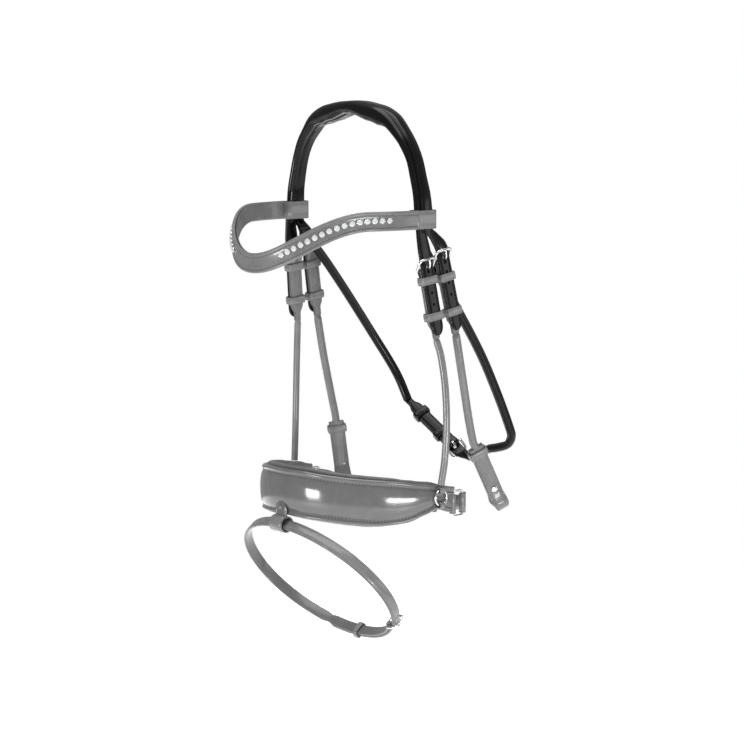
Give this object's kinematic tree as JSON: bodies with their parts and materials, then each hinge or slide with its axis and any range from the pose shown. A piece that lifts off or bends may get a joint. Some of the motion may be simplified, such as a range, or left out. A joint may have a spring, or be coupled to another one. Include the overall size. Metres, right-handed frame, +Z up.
{
  "type": "snaffle bridle",
  "caption": "Snaffle bridle with padded crown, jewelled browband, rolled cheekpieces, crank noseband, flash strap and throatlatch.",
  "frame": {"origin": "middle of the underside of the crown padding, where the bridle rests on the poll", "axes": "+Z up, -Y towards the horse's nose (front), +X the horse's near (left) side"},
  "size_m": [0.2498, 0.2901, 0.5677],
  "materials": {
    "black_leather": "satin",
    "black_padding": "satin",
    "grey_leather": "gloss",
    "grey_padding": "satin",
    "chrome": "polished",
    "crystal": "polished"
  },
  "bodies": {
    "crown": {"crown_strap": "black_leather", "crown_padding": "black_padding", "near_hanger_chape": "grey_leather", "near_hanger_buckle_frame": "chrome", "near_hanger_keeper": "grey_leather", "near_cheek_chape": "grey_leather", "near_cheek_buckle_frame": "chrome", "near_cheek_keeper": "grey_leather", "far_hanger_chape": "grey_leather", "far_hanger_buckle_frame": "chrome", "far_hanger_keeper": "grey_leather", "far_cheek_chape": "grey_leather", "far_cheek_buckle_frame": "chrome", "far_cheek_keeper": "grey_leather"},
    "browband": {"browband_strap": "grey_leather", "browband_lining": "grey_padding", "near_crystal_row": "crystal", "far_crystal_row": "crystal"},
    "near_hanger": {"near_hanger_strap": "grey_leather", "near_noseband_ring": "chrome"},
    "near_cheek": {"near_cheek_strap": "grey_leather", "near_bit_loop": "grey_leather", "near_bit_keeper": "grey_leather", "near_bit_stud": "chrome"},
    "far_hanger": {"far_hanger_strap": "grey_leather", "far_noseband_ring": "chrome"},
    "far_cheek": {"far_cheek_strap": "grey_leather", "far_bit_loop": "grey_leather", "far_bit_keeper": "grey_leather", "far_bit_stud": "chrome"},
    "noseband": {"noseband_band": "grey_leather", "noseband_padding": "grey_padding", "near_crank_loop": "chrome", "far_crank_loop": "chrome", "crank_near_strap": "grey_leather", "crank_far_strap": "grey_leather", "crank_buckle_frame": "chrome", "crank_keeper": "grey_leather", "chin_pad": "grey_padding", "noseband_flash_loop": "grey_leather", "flash_loop_rivet": "chrome"},
    "throatlatch": {"throat_near_strap": "black_leather", "throat_far_strap": "black_leather", "throat_buckle_frame": "chrome", "throat_keeper": "black_leather"},
    "flash": {"flash_strap": "grey_leather", "flash_buckle_frame": "chrome", "flash_keeper": "grey_leather"},
    "near_hanger_runner": {"near_hanger_runner": "grey_leather"},
    "near_hanger_tongue": {"near_hanger_tongue": "chrome"},
    "near_cheek_runner": {"near_cheek_runner": "grey_leather"},
    "near_cheek_tongue": {"near_cheek_tongue": "chrome"},
    "far_hanger_runner": {"far_hanger_runner": "grey_leather"},
    "far_hanger_tongue": {"far_hanger_tongue": "chrome"},
    "far_cheek_runner": {"far_cheek_runner": "grey_leather"},
    "far_cheek_tongue": {"far_cheek_tongue": "chrome"},
    "throat_runner": {"throat_runner": "black_leather"},
    "throat_tongue": {"throat_tongue": "chrome"},
    "crank_tongue": {"crank_tongue": "chrome"},
    "flash_tongue": {"flash_tongue": "chrome"}
  },
  "joints": [
    {"name": "browband_slide", "type": "slide", "parent": "crown", "child": "browband", "axis": [0, 0, 1], "range_m": [-0.001, 0.01]},
    {"name": "near_hanger_swing", "type": "hinge", "parent": "crown", "child": "near_hanger", "pos_m": [0.11186, 0.0068, -0.22876], "axis": [1, 0, 0], "range_deg": [-12, 2], "stiffness_Nm_per_rad": 0.9, "springref_deg": -6.07},
    {"name": "near_cheek_swing", "type": "hinge", "parent": "crown", "child": "near_cheek", "pos_m": [0.11076, 0.03451, -0.22572], "axis": [1, 0, 0], "range_deg": [-2, 25], "stiffness_Nm_per_rad": 0.08, "springref_deg": 3.23},
    {"name": "far_hanger_swing", "type": "hinge", "parent": "crown", "child": "far_hanger", "pos_m": [-0.11186, 0.0068, -0.22876], "axis": [1, 0, 0], "range_deg": [-12, 2]},
    {"name": "far_cheek_swing", "type": "hinge", "parent": "crown", "child": "far_cheek", "pos_m": [-0.11076, 0.03451, -0.22572], "axis": [1, 0, 0], "range_deg": [-2, 25], "stiffness_Nm_per_rad": 0.08, "springref_deg": 1.93},
    {"name": "noseband_tilt", "type": "hinge", "parent": "near_hanger", "child": "noseband", "pos_m": [0.1186, 0.007, -0.388], "axis": [0.9997, 0, 0.0249], "range_deg": [-12, 12], "stiffness_Nm_per_rad": 0.9, "springref_deg": -6.12},
    {"name": "throatlatch_swing", "type": "hinge", "parent": "crown", "child": "throatlatch", "pos_m": [0, 0.001, -0.13], "axis": [1, 0, 0], "range_deg": [-8, 25], "stiffness_Nm_per_rad": 0.4, "springref_deg": 5.51},
    {"name": "flash_tilt", "type": "hinge", "parent": "noseband", "child": "flash", "pos_m": [0, -0.10736, -0.4175], "axis": [1, 0, 0], "range_deg": [-30, 4], "stiffness_Nm_per_rad": 0.2, "springref_deg": 4.14},
    {"name": "near_hanger_tongue_lift", "type": "hinge", "parent": "crown", "child": "near_hanger_tongue", "pos_m": [0.10344, -0.00326, -0.15592], "axis": [0, 0.9906, 0.1369], "range_deg": [0, 12]},
    {"name": "near_hanger_runner_slide", "type": "slide", "parent": "crown", "child": "near_hanger_runner", "axis": [-0.099, -0.1362, 0.9857], "range_m": [-0.004, 0.022]},
    {"name": "near_cheek_tongue_lift", "type": "hinge", "parent": "crown", "child": "near_cheek_tongue", "pos_m": [0.10336, 0.01922, -0.14743], "axis": [0, 0.9815, 0.1917], "range_deg": [0, 12]},
    {"name": "near_cheek_runner_slide", "type": "slide", "parent": "crown", "child": "near_cheek_runner", "axis": [-0.0787, -0.191, 0.9784], "range_m": [-0.004, 0.022]},
    {"name": "far_hanger_tongue_lift", "type": "hinge", "parent": "crown", "child": "far_hanger_tongue", "pos_m": [-0.10344, -0.00326, -0.15592], "axis": [0, -0.9906, -0.1369], "range_deg": [0, 12]},
    {"name": "far_hanger_runner_slide", "type": "slide", "parent": "crown", "child": "far_hanger_runner", "axis": [0.099, -0.1362, 0.9857], "range_m": [-0.004, 0.022]},
    {"name": "far_cheek_tongue_lift", "type": "hinge", "parent": "crown", "child": "far_cheek_tongue", "pos_m": [-0.10336, 0.01922, -0.14743], "axis": [0, -0.9815, -0.1917], "range_deg": [0, 12]},
    {"name": "far_cheek_runner_slide", "type": "slide", "parent": "crown", "child": "far_cheek_runner", "axis": [0.0787, -0.191, 0.9784], "range_m": [-0.004, 0.022]},
    {"name": "throat_tongue_lift", "type": "hinge", "parent": "throatlatch", "child": "throat_tongue", "pos_m": [0.00237, 0.13175, -0.35994], "axis": [0.247, 0.8078, 0.5353], "range_deg": [0, 12]},
    {"name": "throat_runner_slide", "type": "slide", "parent": "throatlatch", "child": "throat_runner", "axis": [0.8305, 0.1081, -0.5464], "range_m": [-0.004, 0.016]},
    {"name": "crank_tongue_lift", "type": "hinge", "parent": "noseband", "child": "crank_tongue", "pos_m": [0.026, 0.07625, -0.412], "axis": [0, 0, 1], "range_deg": [0, 12]},
    {"name": "flash_tongue_lift", "type": "hinge", "parent": "flash", "child": "flash_tongue", "pos_m": [0.07896, -0.02589, -0.51948], "axis": [0, 0.7813, 0.6242], "range_deg": [0, 12]}
  ],
  "couplings": [
    {"joint": "far_hanger_swing", "follows": "near_hanger_swing", "ratio": 1}
  ]
}
